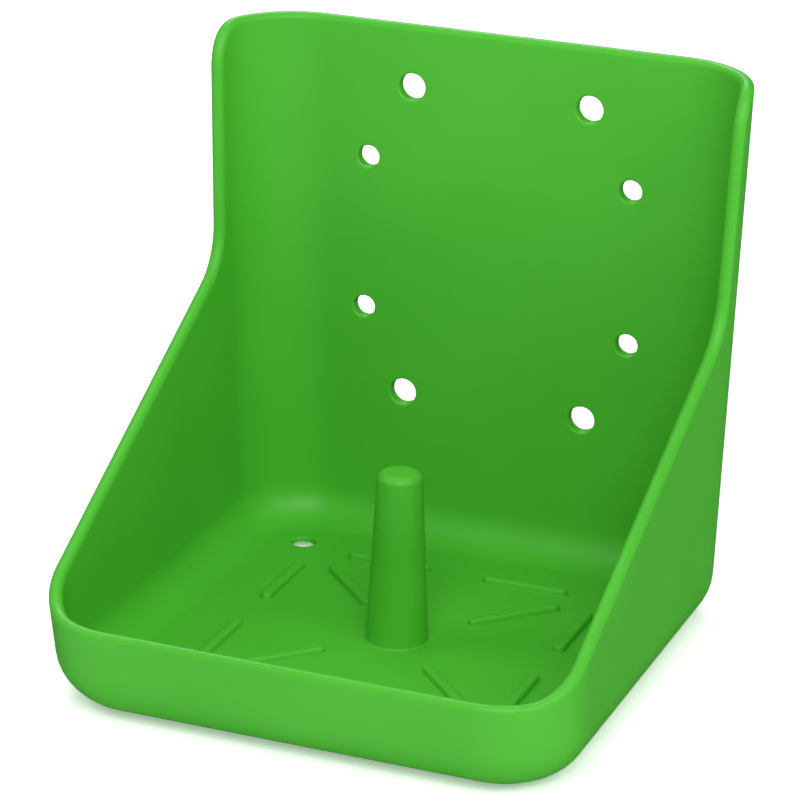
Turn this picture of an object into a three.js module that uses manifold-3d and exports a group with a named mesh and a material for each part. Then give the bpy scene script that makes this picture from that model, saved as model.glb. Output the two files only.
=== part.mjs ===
// Wall-mounted holder for a livestock salt block: an open tray with a high back, a centre peg for
// the hole in the block, and low floor ribs that keep the block off the wet floor.
// Millimetres. +Z is up, +X is to the right of somebody facing the wall, +Y points into the wall.
// The origin is on the underside, below the centre of the bounding box.
import * as THREE from 'three';
import { mergeVertices } from 'three/addons/utils/BufferGeometryUtils.js';
import Module from 'manifold-3d';

const wasm = await Module();
wasm.setup();

// Driving dimensions.
const height = 250;
const depth = 246.5;
const wall = 6;
const bottomHalfWidth = 117;
const topHalfWidth = 124.5;
const lipHeight = 45.5;
const lipLean = 7.8;
const rearCornerRadius = 40;
const frontCornerRadius = 37;
const bottomEdgeRadius = 23;
const insideEdgeRadius = 17;
const touchGap = 0.3;

// Planes and slopes that follow from them.
const backY = depth / 2;
const lipTopY = -depth / 2;
const frontFootY = lipTopY + lipLean;
const frontSlope = lipLean / lipHeight;
const sideSlope = (topHalfWidth - bottomHalfWidth) / height;
const floorTop = wall;
const floorCentreY = (frontFootY + backY) / 2;

// Side profile of the open edge, as corners (y, z) with the radius that rounds each one.
const lipEnd = { y: -111.5, z: lipHeight, radius: 24 };
const elbow = { y: 75.5, z: 143, radius: 27 };
const shoulder = { y: 79, z: height, radius: 20 };

// Screw holes in the back, in pairs: large ones at the top and bottom, small ones further out.
const screwHoles = [
  { halfSpacing: 42, level: 221.5, diameter: 12.4 },
  { halfSpacing: 62.5, level: 186.5, diameter: 10.2 },
  { halfSpacing: 63.5, level: 114.5, diameter: 10.2 },
  { halfSpacing: 43.5, level: 75.5, diameter: 12.4 },
];
const drainHole = { x: -79.5, y: 86.5, radius: 5.5 };

// Underside: raised inside a narrow foot, with a notch through the foot behind the drain hole.
const underside = { rise: 3.4, footWidth: 6, notchWidth: 24 };

// Middle of the salt block, which is where the peg stands and what the ribs are laid out around.
const blockCentreY = 5;

// Centre peg: hollow, tapered, closed at the top and open below through the floor.
const peg = { height: 78, baseRadius: 13.7, topRadius: 10, topRound: 3.5, footFlare: 1.5, wall: 3.5 };

// Floor ribs: rings of straight ribs along the four sides and one diagonal rib to each corner.
const ribField = { x: 69.5, y: 73.5 };
const ribWidth = 6;
const ribHeight = 2.5;
const sideRibSpan = [0.18, 0.77];
const diagonalRibSpan = [0.34, 0.79];

// Facets in a quarter turn, and margins that carry the cutting shapes clear of the solid.
const cornerFacets = 8;
const edgeFacets = 6;
const holeFacets = 24;
const pegFacets = 32;
const cutMargin = 20;

const plastic = new THREE.MeshStandardMaterial({ color: 0x46aa2d, roughness: 0.45, metalness: 0 });

// A manifold solid from a closed three.js geometry, and back again.
function toSolid(geometry) {
  geometry.deleteAttribute('normal');
  geometry.deleteAttribute('uv');
  const merged = mergeVertices(geometry, 1e-4);
  return new wasm.Manifold(new wasm.Mesh({
    numProp: 3,
    vertProperties: new Float32Array(merged.attributes.position.array),
    triVerts: new Uint32Array(merged.index.array),
  }));
}

function toGeometry(solid) {
  const mesh = solid.getMesh();
  const geometry = new THREE.BufferGeometry();
  geometry.setAttribute('position', new THREE.BufferAttribute(mesh.vertProperties, 3));
  geometry.setIndex(new THREE.BufferAttribute(mesh.triVerts, 1));
  geometry.computeVertexNormals();
  return geometry;
}

function namedMesh(name, geometry) {
  const mesh = new THREE.Mesh(geometry, plastic);
  mesh.name = name;
  return mesh;
}

// Plan outline: a rectangle from front to back with its own radius at the front and rear corners.
function planOutline(halfWidth, front, back, frontRadius, rearRadius) {
  const outline = new THREE.Shape();
  outline.absarc(halfWidth - frontRadius, front + frontRadius, frontRadius, -Math.PI / 2, 0);
  outline.absarc(halfWidth - rearRadius, back - rearRadius, rearRadius, 0, Math.PI / 2);
  outline.absarc(rearRadius - halfWidth, back - rearRadius, rearRadius, Math.PI / 2, Math.PI);
  outline.absarc(frontRadius - halfWidth, front + frontRadius, frontRadius, Math.PI, Math.PI * 1.5);
  outline.closePath();
  return outline;
}

// A tub with drafted sides and a drafted front: solid inside, rounded along its bottom edge.
// inset moves every wall inwards, and floorLevel is the underside of the tub.
function tub(inset, floorLevel, edgeRadius) {
  const outline = planOutline(
    bottomHalfWidth - inset,
    frontFootY + inset,
    backY - inset,
    frontCornerRadius - inset,
    rearCornerRadius - inset,
  );
  const geometry = new THREE.ExtrudeGeometry(outline, {
    depth: height,
    bevelThickness: edgeRadius,
    bevelSize: edgeRadius,
    bevelOffset: -edgeRadius,
    bevelSegments: edgeFacets,
    curveSegments: cornerFacets,
  });
  geometry.translate(0, 0, floorLevel + edgeRadius);
  const position = geometry.attributes.position;
  for (let i = 0; i < position.count; i += 1) {
    const z = position.getZ(i);
    const x = position.getX(i);
    const y = position.getY(i);
    position.setX(i, x + Math.sign(x) * sideSlope * z);
    position.setY(i, y < floorCentreY ? y - frontSlope * z : y);
  }
  return toSolid(geometry);
}

// Adds a corner to a path as an arc of the corner's radius, tangent to both of its sides.
function roundedCorner(path, before, corner, after) {
  const here = new THREE.Vector2(corner.y, corner.z);
  const toBefore = new THREE.Vector2(before.y, before.z).sub(here).normalize();
  const toAfter = new THREE.Vector2(after.y, after.z).sub(here).normalize();
  const halfAngle = Math.acos(toBefore.dot(toAfter)) / 2;
  const middle = toBefore.clone().add(toAfter).normalize();
  const centre = here.clone().addScaledVector(middle, corner.radius / Math.sin(halfAngle));
  const reach = corner.radius / Math.tan(halfAngle);
  const start = here.clone().addScaledVector(toBefore, reach).sub(centre);
  const end = here.clone().addScaledVector(toAfter, reach).sub(centre);
  const clockwise = start.cross(end) < 0;
  path.absarc(centre.x, centre.y, corner.radius, start.angle(), end.angle(), clockwise);
}

// Everything below the open edge, as a prism across the whole width.
function belowOpenEdge() {
  const front = { y: lipTopY - cutMargin, z: lipHeight };
  const rear = { y: backY + cutMargin, z: height };
  const side = new THREE.Shape();
  side.moveTo(rear.y, -cutMargin);
  side.lineTo(front.y, -cutMargin);
  side.lineTo(front.y, front.z);
  roundedCorner(side, front, lipEnd, elbow);
  roundedCorner(side, lipEnd, elbow, shoulder);
  roundedCorner(side, elbow, shoulder, rear);
  side.lineTo(rear.y, rear.z);
  side.closePath();
  const width = 2 * (topHalfWidth + cutMargin);
  const geometry = new THREE.ExtrudeGeometry(side, {
    depth: width,
    bevelEnabled: false,
    curveSegments: cornerFacets,
  });
  geometry.translate(0, 0, -width / 2);
  const across = new THREE.Vector3(1, 0, 0);
  const along = new THREE.Vector3(0, 1, 0);
  const up = new THREE.Vector3(0, 0, 1);
  geometry.applyMatrix4(new THREE.Matrix4().makeBasis(along, up, across));
  return toSolid(geometry);
}

// A round hole straight through the back.
function screwHole(x, z, diameter) {
  const radius = diameter / 2;
  const geometry = new THREE.CylinderGeometry(radius, radius, wall + 2 * cutMargin, holeFacets);
  geometry.translate(x, backY, z);
  return toSolid(geometry);
}

// A round hole straight through the floor.
function floorHole(x, y, radius) {
  const geometry = new THREE.CylinderGeometry(radius, radius, 2 * floorTop, holeFacets);
  geometry.rotateX(Math.PI / 2);
  geometry.translate(x, y, floorTop / 2);
  return toSolid(geometry);
}

// The space below the raised underside, inside the foot.
function undersideRecess() {
  const inset = bottomEdgeRadius + underside.footWidth;
  const outline = planOutline(
    bottomHalfWidth - inset,
    frontFootY + inset,
    backY - inset,
    frontCornerRadius - inset,
    rearCornerRadius - inset,
  );
  const geometry = new THREE.ExtrudeGeometry(outline, {
    depth: underside.rise + cutMargin,
    bevelEnabled: false,
    curveSegments: cornerFacets,
  });
  geometry.translate(0, 0, -cutMargin);
  return toSolid(geometry);
}

// A diagonal passage out through the foot at the corner of the drain hole.
function drainNotch() {
  const reach = rearCornerRadius;
  const geometry = new THREE.BoxGeometry(reach, underside.notchWidth, underside.rise + cutMargin);
  geometry.translate(reach / 2, 0, (underside.rise - cutMargin) / 2);
  geometry.rotateZ(Math.PI * 0.75);
  geometry.translate(rearCornerRadius - bottomHalfWidth, backY - rearCornerRadius, 0);
  return toSolid(geometry);
}

function trayShell() {
  let shell = tub(0, 0, bottomEdgeRadius).subtract(tub(wall, floorTop, insideEdgeRadius));
  shell = shell.intersect(belowOpenEdge());
  shell = shell.subtract(undersideRecess()).subtract(drainNotch());
  for (const { halfSpacing, level, diameter } of screwHoles) {
    shell = shell.subtract(screwHole(halfSpacing, level, diameter));
    shell = shell.subtract(screwHole(-halfSpacing, level, diameter));
  }
  shell = shell.subtract(floorHole(drainHole.x, drainHole.y, drainHole.radius));
  shell = shell.subtract(floorHole(0, blockCentreY, peg.baseRadius - peg.wall));
  return namedMesh('tray_shell', toGeometry(shell));
}

// The peg is one turned profile: outside from the foot up to the rounded top, and back down inside.
function centrePeg() {
  const profile = new THREE.Path();
  profile.moveTo(peg.baseRadius - peg.wall, 0);
  profile.lineTo(peg.baseRadius + peg.footFlare, 0);
  profile.quadraticCurveTo(peg.baseRadius, 0, peg.baseRadius, peg.footFlare);
  profile.lineTo(peg.topRadius, peg.height - peg.topRound);
  profile.quadraticCurveTo(peg.topRadius, peg.height, peg.topRadius - peg.topRound, peg.height);
  profile.lineTo(0, peg.height);
  profile.moveTo(0, peg.height);
  profile.lineTo(0, peg.height - peg.wall);
  profile.lineTo(peg.topRadius - peg.wall, peg.height - peg.wall);
  profile.lineTo(peg.baseRadius - peg.wall, 0);
  const geometry = new THREE.LatheGeometry(profile.getPoints(4), pegFacets);
  geometry.rotateX(Math.PI / 2);
  const mesh = namedMesh('centre_peg', toGeometry(toSolid(geometry)));
  mesh.position.set(0, blockCentreY, floorTop + touchGap);
  return mesh;
}

// A bar with round ends that lies on the floor between two points given from the block's middle.
function floorRib(name, start, end) {
  const run = end.clone().sub(start);
  const endRadius = ribWidth / 2;
  const outline = new THREE.Shape();
  outline.absarc(run.length() - endRadius, 0, endRadius, -Math.PI / 2, Math.PI / 2);
  outline.absarc(endRadius, 0, endRadius, Math.PI / 2, Math.PI * 1.5);
  outline.closePath();
  const geometry = new THREE.ExtrudeGeometry(outline, {
    depth: ribHeight,
    bevelEnabled: false,
    curveSegments: edgeFacets,
  });
  const mesh = namedMesh(name, toGeometry(toSolid(geometry)));
  mesh.position.set(start.x, blockCentreY + start.y, floorTop + touchGap);
  mesh.rotation.z = run.angle();
  return mesh;
}

// The three ribs of one corner of the floor, as (x, y) signs.
function cornerRibs(place, signX, signY) {
  const at = (alongX, alongY) => new THREE.Vector2(signX * ribField.x * alongX, signY * ribField.y * alongY);
  const [near, far] = sideRibSpan;
  const [inner, outer] = diagonalRibSpan;
  return [
    floorRib(`${place}_side_rib`, at(1, near), at(1, far)),
    floorRib(`${place}_cross_rib`, at(near, 1), at(far, 1)),
    floorRib(`${place}_diagonal_rib`, at(inner, inner), at(outer, outer)),
  ];
}

const holder = new THREE.Group();
holder.add(trayShell());
holder.add(centrePeg());
holder.add(...cornerRibs('front_left', -1, -1));
holder.add(...cornerRibs('front_right', 1, -1));
holder.add(...cornerRibs('rear_left', -1, 1));
holder.add(...cornerRibs('rear_right', 1, 1));

export default holder;
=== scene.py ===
import math

import bmesh
import bpy
import numpy as np
from mathutils import Matrix, Vector
from mathutils.geometry import delaunay_2d_cdt


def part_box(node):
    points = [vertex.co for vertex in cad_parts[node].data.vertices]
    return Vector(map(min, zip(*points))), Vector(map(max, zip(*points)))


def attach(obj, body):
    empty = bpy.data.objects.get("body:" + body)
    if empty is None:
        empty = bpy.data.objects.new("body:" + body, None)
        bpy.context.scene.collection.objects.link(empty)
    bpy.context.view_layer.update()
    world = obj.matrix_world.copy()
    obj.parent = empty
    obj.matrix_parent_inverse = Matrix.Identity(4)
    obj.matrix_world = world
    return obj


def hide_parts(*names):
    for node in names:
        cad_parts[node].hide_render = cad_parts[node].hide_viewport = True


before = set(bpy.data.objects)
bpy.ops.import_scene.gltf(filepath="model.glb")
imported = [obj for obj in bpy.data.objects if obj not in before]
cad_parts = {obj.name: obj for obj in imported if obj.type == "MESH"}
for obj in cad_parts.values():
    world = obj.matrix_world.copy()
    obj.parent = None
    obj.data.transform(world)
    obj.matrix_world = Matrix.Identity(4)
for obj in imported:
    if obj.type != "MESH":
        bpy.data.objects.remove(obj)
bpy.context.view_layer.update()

# Lengths below are in millimetres, in the frame of the CAD part, and become metres in add_piece().
MM = 0.001
QUARTER = math.pi / 2


def node_box(name):
    """Lowest and highest corner of a CAD node, in millimetres."""
    low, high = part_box(name)
    return np.array(low) / MM, np.array(high) / MM


# ---------------------------------------------------------------------------
# Sizes of the moulding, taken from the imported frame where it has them
# ---------------------------------------------------------------------------

shell_low, shell_high = node_box("tray_shell")
peg_low, peg_high = node_box("centre_peg")

TOUCH_GAP = 0.3
WALL = peg_low[2] - TOUCH_GAP
FLOOR = WALL
HEIGHT = shell_high[2]
BACK_Y = shell_high[1]
LIP_Y = shell_low[1]
LIP_HEIGHT = 45.5
LIP_LEAN = 7.8
BOTTOM_HALF_WIDTH = 117.0
TOP_HALF_WIDTH = 124.5
REAR_RADIUS = 40.0
FRONT_RADIUS = 37.0
EDGE_RADIUS = 23.0
RIM_RADIUS = WALL / 2

SIDE_SLOPE = (TOP_HALF_WIDTH - BOTTOM_HALF_WIDTH) / HEIGHT
FRONT_SLOPE = LIP_LEAN / LIP_HEIGHT
FRONT_FOOT_Y = LIP_Y + LIP_LEAN
REAR_ARC = REAR_RADIUS * QUARTER
FRONT_ARC = FRONT_RADIUS * QUARTER
REAR_CENTRE_Y = BACK_Y - REAR_RADIUS
PEG_Y = (peg_low[1] + peg_high[1]) / 2

# Corners (y, z) of the open edge seen from the side, with the radius that rounds each one.
LIP_END = (-111.5, LIP_HEIGHT, 24.0)
ELBOW = (75.5, 143.0, 27.0)
SHOULDER = (79.0, HEIGHT, 20.0)

# Screw holes in the right half of the back: half spacing, height and radius.
SCREW_HOLES = (
    (42.0, 221.5, 6.2),
    (62.5, 186.5, 5.1),
    (63.5, 114.5, 5.1),
    (43.5, 75.5, 6.2),
)
HOLE_EDGE = 1.1
DRAIN_HOLE = (-79.5, 86.5, 5.5)
DRAIN_EDGE = 0.8
EJECTOR_MARK = (-89.5, 4.0, 4.0)
EJECTOR_DEPTH = 0.15
EJECTOR_EDGE = 0.25

# Underside: raised inside a narrow foot, with a notch through the foot behind the drain hole.
UNDERSIDE_RISE = 3.4
FOOT_WIDTH = 6.0
NOTCH_WIDTH = 24.0
CUT_BELOW = 5.0

PEG_BASE_RADIUS = 13.7
PEG_TOP_RADIUS = 10.0
PEG_TOP_ROUND = 3.5
PEG_FOOT_ROUND = 1.0
PEG_WALL = 3.5
PEG_BORE = PEG_BASE_RADIUS - PEG_WALL

RIB_WIDTH = 6.0
RIB_FILLET = 0.3
RIB_EDGE_ROUND = 1.2
RIB_SIDE_LEAN = 0.3
RIB_CROWN = 0.15

# The peg and the ribs start this far below the floor, so that no gap shows round them.
SUNK = 0.2

# Fineness of the meshes.
MESH_STEP = 5.0
RIM_STEP = 2.5
CORNER_STEPS = 18
EDGE_STEPS = 10
RIM_STEPS = 12
HOLE_STEPS = 40
PEG_STEPS = 72
FRONT_STEPS = 16
SIDE_STEPS = 34
BACK_STEPS = 16
TUNNEL_EDGE_STEPS = 5
RIB_END_STEPS = 10
RIB_BAR_STEPS = 6
PROFILE_TURN = math.radians(6)
SHARP_ANGLE = math.radians(40)

# Points closer than WELD are one point, and after a cut those closer than CRUMB are too.
WELD = 0.004
CRUMB = 0.02
MIDDLE_SNAP = 1.0

# Mesh points inside a patch keep this part of a mesh step from its edges.
WALL_CLEARANCE = 0.45
FLOOR_CLEARANCE = 0.6


# ---------------------------------------------------------------------------
# The walls: a flattened half sheet (s, z) wrapped round the right half of the plan.
# s runs from the middle of the front, round the front corner, along the side (s < 0),
# round the rear corner (from s = 0) and to the middle of the back.
# ---------------------------------------------------------------------------

def half_width(z):
    """Half the outside width at one height."""
    return BOTTOM_HALF_WIDTH + SIDE_SLOPE * z


def front_y(z):
    """Depth of the outer front face at one height."""
    return FRONT_FOOT_Y - FRONT_SLOPE * z


def side_length(z):
    """Straight part of the side between its two corners."""
    return REAR_CENTRE_Y - (front_y(z) + FRONT_RADIUS)


def s_front(z):
    """Place on the sheet of the middle of the front."""
    return -(side_length(z) + FRONT_ARC + half_width(z) - FRONT_RADIUS)


def s_back(z):
    """Place on the sheet of the middle of the back."""
    return REAR_ARC + half_width(z) - REAR_RADIUS


def s_of(y, z):
    """Place on the sheet of a point of the side or of a corner, from its depth."""
    if y > REAR_CENTRE_Y:
        return REAR_RADIUS * math.asin(min(1.0, (y - REAR_CENTRE_Y) / REAR_RADIUS))
    corner_y = front_y(z) + FRONT_RADIUS
    if y < corner_y:
        return -side_length(z) - FRONT_RADIUS * math.asin(min(1.0, (corner_y - y) / FRONT_RADIUS))
    return y - REAR_CENTRE_Y


def wall_point(s, z, inset):
    """The sheet wrapped into 3-D, a distance inset inside the outer face."""
    width = half_width(z)
    side = side_length(z)
    if s >= REAR_ARC:
        return width - REAR_RADIUS - (s - REAR_ARC), BACK_Y - inset, z
    if s >= 0:
        turn = s / REAR_RADIUS
        radius = REAR_RADIUS - inset
        return width - REAR_RADIUS + radius * math.cos(turn), REAR_CENTRE_Y + radius * math.sin(turn), z
    if s >= -side:
        return width - inset, REAR_CENTRE_Y + s, z
    if s >= -side - FRONT_ARC:
        turn = (-s - side) / FRONT_RADIUS
        radius = FRONT_RADIUS - inset
        corner_y = front_y(z) + FRONT_RADIUS
        return width - FRONT_RADIUS + radius * math.cos(turn), corner_y - radius * math.sin(turn), z
    return width - FRONT_RADIUS + s + side + FRONT_ARC, front_y(z) + inset, z


def stations(z):
    """Places along the sheet at one height, the same number at every height."""
    side = side_length(z)
    breaks = (
        (s_front(z), -side - FRONT_ARC, FRONT_STEPS),
        (-side - FRONT_ARC, -side, CORNER_STEPS),
        (-side, 0.0, SIDE_STEPS),
        (0.0, REAR_ARC, CORNER_STEPS),
        (REAR_ARC, s_back(z), BACK_STEPS),
    )
    places = [s_front(z)]
    for start, end, steps in breaks:
        places.extend(start + (end - start) * i / steps for i in range(1, steps + 1))
    return places


def rounded_corner(before, corner, after):
    """Points of the arc that rounds one corner of the side profile."""
    here = Vector(corner[:2])
    to_before = (Vector(before[:2]) - here).normalized()
    to_after = (Vector(after[:2]) - here).normalized()
    half_angle = to_before.angle(to_after) / 2
    centre = here + (to_before + to_after).normalized() * corner[2] / math.sin(half_angle)
    reach = corner[2] / math.tan(half_angle)
    start = here + to_before * reach - centre
    end = here + to_after * reach - centre
    turn = start.angle_signed(end)
    steps = max(4, math.ceil(abs(turn) / PROFILE_TURN))
    return [centre + Matrix.Rotation(-turn * i / steps, 2) @ start for i in range(steps + 1)]


def resample(points, step):
    """Points at even distances along a line."""
    line = np.array(points)
    lengths = np.concatenate([[0], np.cumsum(np.linalg.norm(np.diff(line, axis=0), axis=1))])
    count = max(2, round(lengths[-1] / step))
    places = np.linspace(0, lengths[-1], count + 1)
    return np.stack([np.interp(places, lengths, line[:, axis]) for axis in (0, 1)], axis=1)


def rim_line():
    """Crest of the rim on the sheet, and the unit normals that point out of the material."""
    front = (LIP_Y, LIP_HEIGHT)
    rear = (BACK_Y, HEIGHT)
    profile = rounded_corner(front, LIP_END, ELBOW)
    profile += rounded_corner(LIP_END, ELBOW, SHOULDER)
    profile += rounded_corner(ELBOW, SHOULDER, rear)
    dense = []
    for a, b in zip(profile[:-1], profile[1:]):
        steps = max(1, math.ceil((b - a).length / RIM_STEP))
        dense.extend(a.lerp(b, i / steps) for i in range(steps))
    dense.append(profile[-1])
    crest = [(s_front(LIP_HEIGHT), LIP_HEIGHT)]
    crest += [(s_of(y, z), z) for y, z in dense]
    crest.append((s_back(HEIGHT), HEIGHT))
    crest = resample(crest, RIM_STEP)
    along = np.gradient(crest, axis=0)
    along[0] = along[-1] = (1, 0)
    along /= np.linalg.norm(along, axis=1)[:, None]
    return crest, np.stack([-along[:, 1], along[:, 0]], axis=1)


RIM_CREST, RIM_NORMAL = rim_line()
RIM_FOOT = RIM_CREST - RIM_RADIUS * RIM_NORMAL


# ---------------------------------------------------------------------------
# Mesh helpers
# ---------------------------------------------------------------------------

class Surface:
    """Vertices and faces of one piece, gathered strip by strip and welded at the end."""

    def __init__(self):
        self.points = []
        self.faces = []

    def grid(self, rows, closed=False):
        """A strip of quads between rows of points with the same length."""
        start = len(self.points)
        width = len(rows[0])
        for row in rows:
            self.points.extend(row)
        for i in range(len(rows) - 1):
            for j in range(width if closed else width - 1):
                a = start + i * width + j
                b = start + i * width + (j + 1) % width
                self.faces.append((a, b, b + width, a + width))

    def patch(self, loops, inside, lift):
        """A triangulated patch: loops bound it, the first one from outside, and lift places a point."""
        points = []
        edges = []
        for loop in loops:
            first = len(points)
            points.extend(loop)
            count = len(loop)
            edges.extend((first + i, first + (i + 1) % count) for i in range(count))
        points.extend(inside)
        found = delaunay_2d_cdt([Vector(p) for p in points], edges, [], 0, 1e-7)
        flat_points = np.array([tuple(p) for p in found[0]])
        triangles = np.array([tuple(f) for f in found[2]])
        middles = flat_points[triangles].mean(axis=1)
        kept = within(middles, loops[0])
        for hole in loops[1:]:
            kept &= ~within(middles, hole)
        start = len(self.points)
        self.points.extend(lift(*p) for p in flat_points)
        self.faces.extend(tuple(start + int(i) for i in face) for face in triangles[kept])

    def mirrored(self):
        """Adds the left half as a mirror image of the right half."""
        count = len(self.points)
        self.points.extend([(-x, y, z) for x, y, z in self.points])
        self.faces.extend([tuple(count + i for i in reversed(face)) for face in self.faces])


def within(points, loop):
    """Which points lie inside a closed loop, by counting crossings."""
    loop = np.array(loop)
    following = np.roll(loop, -1, axis=0)
    inside = np.zeros(len(points), dtype=bool)
    for (ax, ay), (bx, by) in zip(loop, following):
        if ay == by:
            continue
        crosses = (ay > points[:, 1]) != (by > points[:, 1])
        where = ax + (points[:, 1] - ay) * (bx - ax) / (by - ay)
        inside ^= crosses & (points[:, 0] < where)
    return inside


def clear_of(points, loops, distance):
    """The points that keep a distance from every vertex of the loops."""
    kept = np.ones(len(points), dtype=bool)
    for loop in loops:
        gaps = np.linalg.norm(points[:, None, :] - np.array(loop)[None, :, :], axis=2)
        kept &= gaps.min(axis=1) > distance
    return points[kept]


def welded_mesh(name, surface):
    """A closed, smooth-shaded mesh in metres."""
    mesh = bpy.data.meshes.new(name)
    shape = bmesh.new()
    corners = [shape.verts.new(Vector(p) * MM) for p in surface.points]
    for face in surface.faces:
        if len(set(face)) > 2:
            shape.faces.new([corners[i] for i in face])
    bmesh.ops.remove_doubles(shape, verts=shape.verts, dist=WELD * MM)
    bmesh.ops.dissolve_degenerate(shape, edges=shape.edges, dist=WELD * MM)
    unused = [corner for corner in shape.verts if not corner.link_faces]
    bmesh.ops.delete(shape, geom=unused, context="VERTS")
    bmesh.ops.recalc_face_normals(shape, faces=shape.faces)
    for face in shape.faces:
        face.smooth = True
    shape.to_mesh(mesh)
    shape.free()
    return mesh


def cut_away(piece, cutter):
    """Takes the volume of a cutting surface away from a piece."""
    tool = bpy.data.objects.new("cutter", welded_mesh("cutter", cutter))
    bpy.context.scene.collection.objects.link(tool)
    cut = piece.modifiers.new("cut", "BOOLEAN")
    cut.operation = "DIFFERENCE"
    cut.solver = "MANIFOLD"
    cut.object = tool
    depsgraph = bpy.context.evaluated_depsgraph_get()
    result = bpy.data.meshes.new_from_object(piece.evaluated_get(depsgraph))
    result.materials.clear()
    piece.modifiers.remove(cut)
    piece.data = result
    bpy.data.objects.remove(tool)


def clean_and_crease(mesh):
    """Welds the crumbs that a cut leaves, then keeps real edges crisp and everything else smooth."""
    shape = bmesh.new()
    shape.from_mesh(mesh)
    bmesh.ops.remove_doubles(shape, verts=shape.verts, dist=CRUMB * MM)
    bmesh.ops.dissolve_degenerate(shape, edges=shape.edges, dist=CRUMB * MM)
    bmesh.ops.triangulate(shape, faces=[face for face in shape.faces if len(face.verts) > 4])
    for edge in shape.edges:
        edge.smooth = edge.calc_face_angle(0.0) < SHARP_ANGLE
    shape.to_mesh(mesh)
    shape.free()


def add_piece(name, surface, material, node, cutters=()):
    """Makes the mesh object, parents it to the root body and hides the CAD node it stands for."""
    piece = bpy.data.objects.new(name, welded_mesh(name, surface))
    bpy.context.scene.collection.objects.link(piece)
    for cutter in cutters:
        cut_away(piece, cutter)
    clean_and_crease(piece.data)
    piece.data.materials.append(material)
    weighted = piece.modifiers.new("even_shading", "WEIGHTED_NORMAL")
    weighted.mode = "FACE_AREA"
    weighted.keep_sharp = True
    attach(piece, "root")
    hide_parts(node)


# ---------------------------------------------------------------------------
# Tray shell
# ---------------------------------------------------------------------------

def circle(centre, radius):
    """Points of a circle, counter-clockwise."""
    turns = [2 * math.pi * i / HOLE_STEPS for i in range(HOLE_STEPS)]
    return [(centre[0] + radius * math.cos(t), centre[1] + radius * math.sin(t)) for t in turns]


def add_rim(surface):
    """The full-round edge that joins the outer face to the inner face."""
    rows = []
    last = len(RIM_FOOT) - 1
    for j in range(RIM_STEPS + 1):
        turn = math.pi * j / RIM_STEPS
        inset = RIM_RADIUS * (1 - math.cos(turn))
        row = []
        for k, (foot, normal) in enumerate(zip(RIM_FOOT, RIM_NORMAL)):
            s, z = foot + normal * RIM_RADIUS * math.sin(turn)
            x, y, z = wall_point(s, z, inset)
            row.append((0.0 if k in (0, last) else x, y, z))
        rows.append(row)
    surface.grid(rows)


def add_wall_face(surface, inset):
    """One face of the walls, from the bottom fillet up to the rim, with the screw holes."""
    low = EDGE_RADIUS
    foot = [(s, low) for s in stations(low)]
    front_top = RIM_FOOT[0][1]
    back_top = RIM_FOOT[-1][1]
    back_levels = np.linspace(low, back_top, round((back_top - low) / MESH_STEP) + 1)[1:-1]
    front_levels = np.linspace(low, front_top, round((front_top - low) / MESH_STEP) + 1)[1:-1]
    outer = list(foot)
    outer += [(s_back(z), z) for z in back_levels]
    outer += [tuple(p) for p in RIM_FOOT[::-1]]
    outer += [(s_front(z), z) for z in front_levels[::-1]]
    holes = []
    for x, z, radius in SCREW_HOLES:
        loop = circle((x, z), radius + HOLE_EDGE)
        holes.append([(s_back(v) - u, v) for u, v in loop])
    inside = np.array([(s, z) for z in back_levels for s in stations(z)[1:-1]])
    inside = inside[within(inside, outer)]
    inside = clear_of(inside, [RIM_FOOT] + holes, MESH_STEP * WALL_CLEARANCE)

    def wrap(s, z):
        x, y, z = wall_point(s, z, inset)
        return 0.0 if abs(x) < MIDDLE_SNAP else x, y, z

    surface.patch([outer] + holes, [tuple(p) for p in inside], wrap)


def add_bottom_edge(surface, inset):
    """The fillet between the walls and a floor face, concentric for both faces."""
    radius = EDGE_RADIUS - inset
    rows = []
    for i in range(EDGE_STEPS + 1):
        turn = QUARTER * i / EDGE_STEPS
        z = EDGE_RADIUS - radius * math.sin(turn)
        depth = inset + radius * (1 - math.cos(turn))
        places = stations(z)
        row = [wall_point(s, z, depth) for s in places]
        row[0] = (0.0,) + row[0][1:]
        row[-1] = (0.0,) + row[-1][1:]
        rows.append(row)
    surface.grid(rows)


def add_tunnel(surface, centre, radius, edge, to_3d):
    """A round hole through a wall with both of its edges rounded."""
    quarter = [QUARTER * i / TUNNEL_EDGE_STEPS for i in range(TUNNEL_EDGE_STEPS + 1)]
    near = [(edge * (1 - math.sin(t)), edge * (1 - math.cos(t))) for t in quarter]
    far = [(spread, WALL - depth) for spread, depth in reversed(near)]
    rows = []
    for spread, depth in near + far:
        rows.append([to_3d(u, v, depth) for u, v in circle(centre, radius + spread)])
    surface.grid(rows, closed=True)


def plan_outline(level, inset):
    """Closed outline in plan at one height, counter-clockwise from the middle of the front."""
    right = [wall_point(s, level, inset)[:2] for s in stations(level)]
    right[0] = (0.0, right[0][1])
    right[-1] = (0.0, right[-1][1])
    left = [(-x, y) for x, y in right[-2:0:-1]]
    return right + left


def add_floor_face(surface, level, holes):
    """A flat floor face with its round holes."""
    outline = plan_outline(level, EDGE_RADIUS)
    low = np.min(outline, axis=0)
    high = np.max(outline, axis=0)
    xs = np.arange(low[0] + MESH_STEP, high[0], MESH_STEP)
    ys = np.arange(low[1] + MESH_STEP, high[1], MESH_STEP)
    inside = np.array([(x, y) for y in ys for x in xs])
    inside = inside[within(inside, outline)]
    inside = clear_of(inside, [outline] + holes, MESH_STEP * FLOOR_CLEARANCE)
    surface.patch([outline] + holes, [tuple(p) for p in inside], lambda x, y: (x, y, level))


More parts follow.
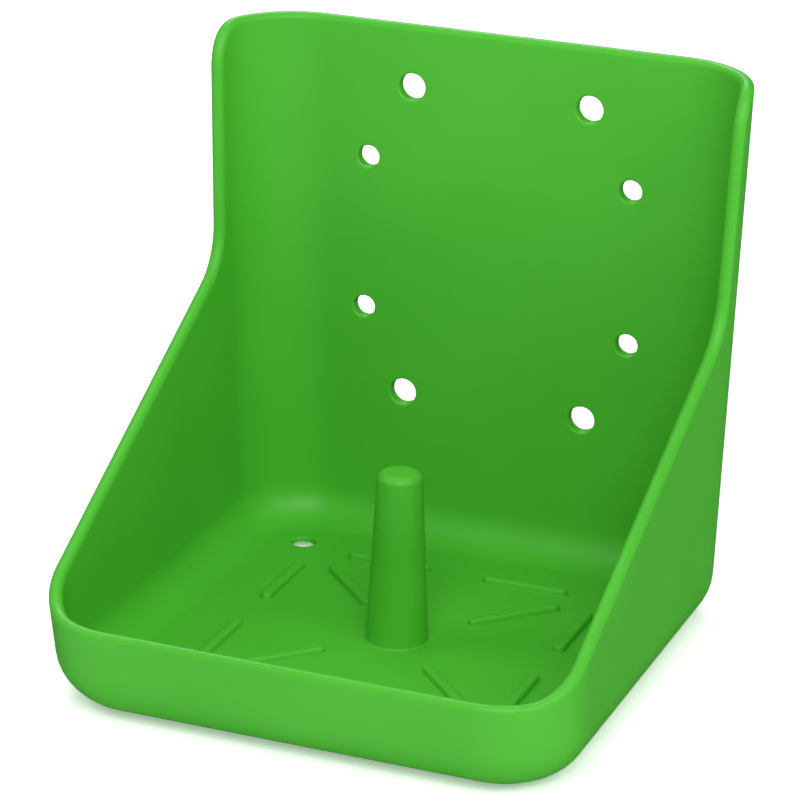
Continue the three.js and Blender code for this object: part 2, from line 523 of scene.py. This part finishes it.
def add_ejector_mark(surface):
    """The faint round dent that a moulding pin leaves in the floor."""
    centre = EJECTOR_MARK[:2]
    rim = circle(centre, EJECTOR_MARK[2] + EJECTOR_EDGE)
    dent = circle(centre, EJECTOR_MARK[2])
    bottom = FLOOR - EJECTOR_DEPTH
    surface.grid([
        [(x, y, FLOOR) for x, y in rim],
        [(x, y, bottom) for x, y in dent],
        [(*centre, bottom)] * HOLE_STEPS,
    ], closed=True)
    return rim


def tray_shell():
    """Floor, lip, cheeks and back as one closed surface."""
    surface = Surface()
    add_rim(surface)
    add_wall_face(surface, 0.0)
    add_wall_face(surface, WALL)
    add_bottom_edge(surface, 0.0)
    add_bottom_edge(surface, WALL)
    for x, z, radius in SCREW_HOLES:
        add_tunnel(surface, (x, z), radius, HOLE_EDGE, lambda u, v, depth: (u, BACK_Y - WALL + depth, v))
    surface.mirrored()
    floor_holes = []
    for x, y, radius in (DRAIN_HOLE, (0.0, PEG_Y, PEG_BORE)):
        add_tunnel(surface, (x, y), radius, DRAIN_EDGE, lambda u, v, depth: (u, v, FLOOR - depth))
        floor_holes.append(circle((x, y), radius + DRAIN_EDGE))
    add_floor_face(surface, 0.0, floor_holes)
    add_floor_face(surface, FLOOR, floor_holes + [add_ejector_mark(surface)])
    return surface


def prism(outline, low, high):
    """A closed upright prism on a plan outline."""
    surface = Surface()
    surface.grid([[(x, y, z) for x, y in outline] for z in (low, high)], closed=True)
    count = len(outline)
    surface.faces.append(tuple(range(count)))
    surface.faces.append(tuple(range(count, 2 * count)))
    return surface


def underside_cuts():
    """The space inside the foot, and the notch that leads out of it past the rear left corner."""
    recess = plan_outline(0.0, EDGE_RADIUS + FOOT_WIDTH)
    corner = Vector((REAR_RADIUS - BOTTOM_HALF_WIDTH, REAR_CENTRE_Y))
    outwards = Vector((-1, 1)).normalized() * REAR_RADIUS
    across = Vector((1, 1)).normalized() * NOTCH_WIDTH / 2
    notch = [corner - across, corner + across, corner + across + outwards, corner - across + outwards]
    return [prism(outline, -CUT_BELOW, UNDERSIDE_RISE) for outline in (recess, notch)]


# ---------------------------------------------------------------------------
# Centre peg and floor ribs
# ---------------------------------------------------------------------------

def arc(centre, radius, start, end, steps=6):
    """Points (r, z) of an arc, angles in degrees from the outward direction."""
    turns = [math.radians(start + (end - start) * i / steps) for i in range(steps + 1)]
    return [(centre[0] + radius * math.cos(t), centre[1] + radius * math.sin(t)) for t in turns]


def centre_peg():
    """A turned, hollow, tapered peg whose foot runs out into the floor."""
    top = peg_high[2]
    ceiling = top - PEG_WALL
    foot_radius = PEG_BASE_RADIUS + PEG_FOOT_ROUND
    outside = [(PEG_BORE, FLOOR - SUNK), (foot_radius, FLOOR - SUNK)]
    outside += arc((foot_radius, FLOOR + PEG_FOOT_ROUND), PEG_FOOT_ROUND, 270, 183)
    outside += arc((PEG_TOP_RADIUS - PEG_TOP_ROUND, top - PEG_TOP_ROUND), PEG_TOP_ROUND, 3, 90)
    outside.append((0.0, top))
    bore = [(0.0, ceiling), (PEG_TOP_RADIUS - PEG_WALL, ceiling), (PEG_BORE, FLOOR - SUNK)]
    surface = Surface()
    for profile in (outside, bore):
        rows = []
        for i in range(PEG_STEPS + 1):
            turn = 2 * math.pi * i / PEG_STEPS
            rows.append([(r * math.cos(turn), PEG_Y + r * math.sin(turn), z) for r, z in profile])
        surface.grid(rows)
    return surface


def rib_section(height):
    """Half section of a rib: (distance from its middle line, height), from the floor to the crest."""
    foot = RIB_WIDTH / 2
    shoulder = foot - RIB_FILLET - RIB_SIDE_LEAN - RIB_EDGE_ROUND
    section = [(foot, -SUNK)]
    section += arc((foot, RIB_FILLET), RIB_FILLET, 270, 180, 3)
    section += arc((shoulder, height - RIB_CROWN - RIB_EDGE_ROUND), RIB_EDGE_ROUND, 10, 85)
    section.append((0.0, height))
    return section


def floor_rib(start, end, height):
    """A low bar with round edges and round ends along the line from start to end."""
    along = (end - start).normalized()
    across = Vector((-along.y, along.x))
    first = start + along * RIB_WIDTH / 2
    last = end - along * RIB_WIDTH / 2
    turns = [math.pi * i / RIB_END_STEPS for i in range(RIB_END_STEPS + 1)]
    surface = Surface()
    rows = []
    for distance, level in rib_section(height):
        row = []
        for t in turns:
            place = last + (across * -math.cos(t) + along * math.sin(t)) * distance
            row.append((place.x, place.y, FLOOR + level))
        for i in range(1, RIB_BAR_STEPS):
            place = last.lerp(first, i / RIB_BAR_STEPS) + across * distance
            row.append((place.x, place.y, FLOOR + level))
        for t in turns:
            place = first + (across * math.cos(t) - along * math.sin(t)) * distance
            row.append((place.x, place.y, FLOOR + level))
        for i in range(1, RIB_BAR_STEPS):
            place = first.lerp(last, i / RIB_BAR_STEPS) - across * distance
            row.append((place.x, place.y, FLOOR + level))
        rows.append(row)
    surface.grid(rows, closed=True)
    surface.faces.append(tuple(range(len(rows[0]))))
    return surface


def rib_line(name, sign_x, sign_y):
    """Ends and height of a rib, from the box of its CAD node. Diagonal ribs point away from the peg."""
    low, high = node_box(name)
    middle = Vector((low + high)[:2]) / 2
    size = high - low
    if name.endswith("side_rib"):
        reach = Vector((0, size[1] / 2))
    elif name.endswith("cross_rib"):
        reach = Vector((size[0] / 2, 0))
    else:
        rounding = RIB_WIDTH / 2 * (1 - math.sqrt(0.5))
        reach = Vector((sign_x * (size[0] / 2 - rounding), sign_y * (size[1] / 2 - rounding)))
    return middle - reach, middle + reach, high[2] - FLOOR


# ---------------------------------------------------------------------------
# Material
# ---------------------------------------------------------------------------

def noise(tree, place, scale, detail):
    """A noise texture fixed to the object."""
    texture = tree.nodes.new("ShaderNodeTexNoise")
    texture.inputs["Scale"].default_value = scale
    texture.inputs["Detail"].default_value = detail
    tree.links.new(place.outputs["Object"], texture.inputs["Vector"])
    return texture.outputs["Fac"]


def bump(tree, height, strength, distance):
    """A bump node that raises the surface by a noise."""
    relief = tree.nodes.new("ShaderNodeBump")
    relief.inputs["Strength"].default_value = strength
    relief.inputs["Distance"].default_value = distance
    tree.links.new(height, relief.inputs["Height"])
    return relief


def green_plastic():
    """Satin injection-moulded plastic: faint flow tint, very fine grain and a soft gloss."""
    material = bpy.data.materials.new("green_plastic")
    material.use_nodes = True
    tree = material.node_tree
    shader = tree.nodes["Principled BSDF"]
    shader.inputs["Metallic"].default_value = 0.0
    shader.inputs["Specular IOR Level"].default_value = 0.26
    shader.inputs["Subsurface Weight"].default_value = 0.12
    shader.inputs["Subsurface Radius"].default_value = (0.6, 1.0, 0.3)
    shader.inputs["Subsurface Scale"].default_value = 0.002
    place = tree.nodes.new("ShaderNodeTexCoord")

    tint = tree.nodes.new("ShaderNodeValToRGB")
    darker, lighter = tint.color_ramp.elements
    darker.position = 0.3
    darker.color = (0.057, 0.390, 0.021, 1)
    lighter.position = 0.7
    lighter.color = (0.065, 0.412, 0.026, 1)
    tree.links.new(noise(tree, place, 14.0, 2.0), tint.inputs["Fac"])
    tree.links.new(tint.outputs["Color"], shader.inputs["Base Color"])

    sheen = tree.nodes.new("ShaderNodeMapRange")
    sheen.inputs["To Min"].default_value = 0.4
    sheen.inputs["To Max"].default_value = 0.5
    tree.links.new(noise(tree, place, 45.0, 3.0), sheen.inputs["Value"])
    tree.links.new(sheen.outputs["Result"], shader.inputs["Roughness"])

    ripple = bump(tree, noise(tree, place, 30.0, 1.0), 0.25, 0.0006)
    grain = bump(tree, noise(tree, place, 2600.0, 2.0), 0.12, 0.0001)
    tree.links.new(ripple.outputs["Normal"], grain.inputs["Normal"])
    tree.links.new(grain.outputs["Normal"], shader.inputs["Normal"])
    return material


plastic = green_plastic()
add_piece("moulded_tray", tray_shell(), plastic, "tray_shell", underside_cuts())
add_piece("moulded_peg", centre_peg(), plastic, "centre_peg")
for depth_word, sign_y in (("front", -1), ("rear", 1)):
    for side_word, sign_x in (("left", -1), ("right", 1)):
        for kind in ("side", "cross", "diagonal"):
            node = f"{depth_word}_{side_word}_{kind}_rib"
            rib = floor_rib(*rib_line(node, sign_x, sign_y))
            add_piece(f"moulded_{node}", rib, plastic, node)


# ---------------------------------------------------------------------------
# Stage: pale floor, soft light, camera. Places and sizes here are in metres, powers in watts.
# ---------------------------------------------------------------------------

LIGHT_AIM = Vector((0, 0, 0.1))
FLOOR_REACH = 6.0


def pale_floor():
    """A dull white light table: it lights the moulding from below but isn't mirrored in it."""
    mesh = bpy.data.meshes.new("studio_floor")
    corners = [(x * FLOOR_REACH, y * FLOOR_REACH, 0) for x, y in ((-1, -1), (1, -1), (1, 1), (-1, 1))]
    mesh.from_pydata(corners, [], [(0, 1, 2, 3)])
    floor = bpy.data.objects.new("studio_floor", mesh)
    bpy.context.scene.collection.objects.link(floor)
    material = bpy.data.materials.new("studio_floor")
    material.use_nodes = True
    shader = material.node_tree.nodes["Principled BSDF"]
    shader.inputs["Base Color"].default_value = (0.93, 0.93, 0.93, 1)
    shader.inputs["Roughness"].default_value = 0.9
    shader.inputs["Emission Color"].default_value = (1, 1, 1, 1)
    shader.inputs["Emission Strength"].default_value = 0.32
    mesh.materials.append(material)
    floor.visible_glossy = False


def soft_light(name, place, size, power):
    """A round area lamp that points at the middle of the holder."""
    light = bpy.data.lights.new(name, "AREA")
    light.shape = "DISK"
    light.size = size
    light.energy = power
    lamp = bpy.data.objects.new(name, light)
    lamp.location = place
    lamp.rotation_euler = (LIGHT_AIM - Vector(place)).to_track_quat("-Z", "Y").to_euler()
    bpy.context.scene.collection.objects.link(lamp)


def studio_light():
    """A faint even sky and six soft lamps, the strongest in front and above."""
    world = bpy.data.worlds.new("studio")
    world.use_nodes = True
    sky = world.node_tree.nodes["Background"]
    sky.inputs["Color"].default_value = (1, 1, 1, 1)
    sky.inputs["Strength"].default_value = 0.02
    bpy.context.scene.world = world
    soft_light("key", (0.6, -1.55, 1.75), 1.5, 46)
    soft_light("right_high", (1.6, -0.6, 1.6), 1.4, 16)
    soft_light("right_low", (2.2, 0.0, 0.7), 1.5, 6)
    soft_light("left", (-1.6, -0.6, 1.6), 1.4, 13)
    soft_light("back", (-0.9, 1.6, 1.8), 1.2, 26)
    soft_light("top", (-0.35, 0.55, 2.2), 0.8, 6)


def photo_camera():
    """The camera of the photograph: far away, above and to the right, rolled by about a degree."""
    azimuth = math.radians(21.43)
    elevation = math.radians(20.91)
    roll = math.radians(1.12)
    place = Vector((526.19, -1337.43, 668.29)) * MM
    forward = Vector((
        -math.sin(azimuth) * math.cos(elevation),
        math.cos(azimuth) * math.cos(elevation),
        -math.sin(elevation),
    ))
    right = Vector((math.cos(azimuth), math.sin(azimuth), 0))
    up = right.cross(forward)
    level = Matrix((right, up, -forward)).transposed()
    camera_data = bpy.data.cameras.new("camera")
    camera_data.sensor_width = 36.0
    camera_data.lens = 162.72
    camera_data.clip_end = 50
    camera = bpy.data.objects.new("camera", camera_data)
    camera.matrix_world = Matrix.Translation(place) @ (level @ Matrix.Rotation(roll, 3, "Z")).to_4x4()
    bpy.context.scene.collection.objects.link(camera)
    bpy.context.scene.camera = camera


pale_floor()
studio_light()
photo_camera()
bpy.context.scene.view_settings.view_transform = "Standard"
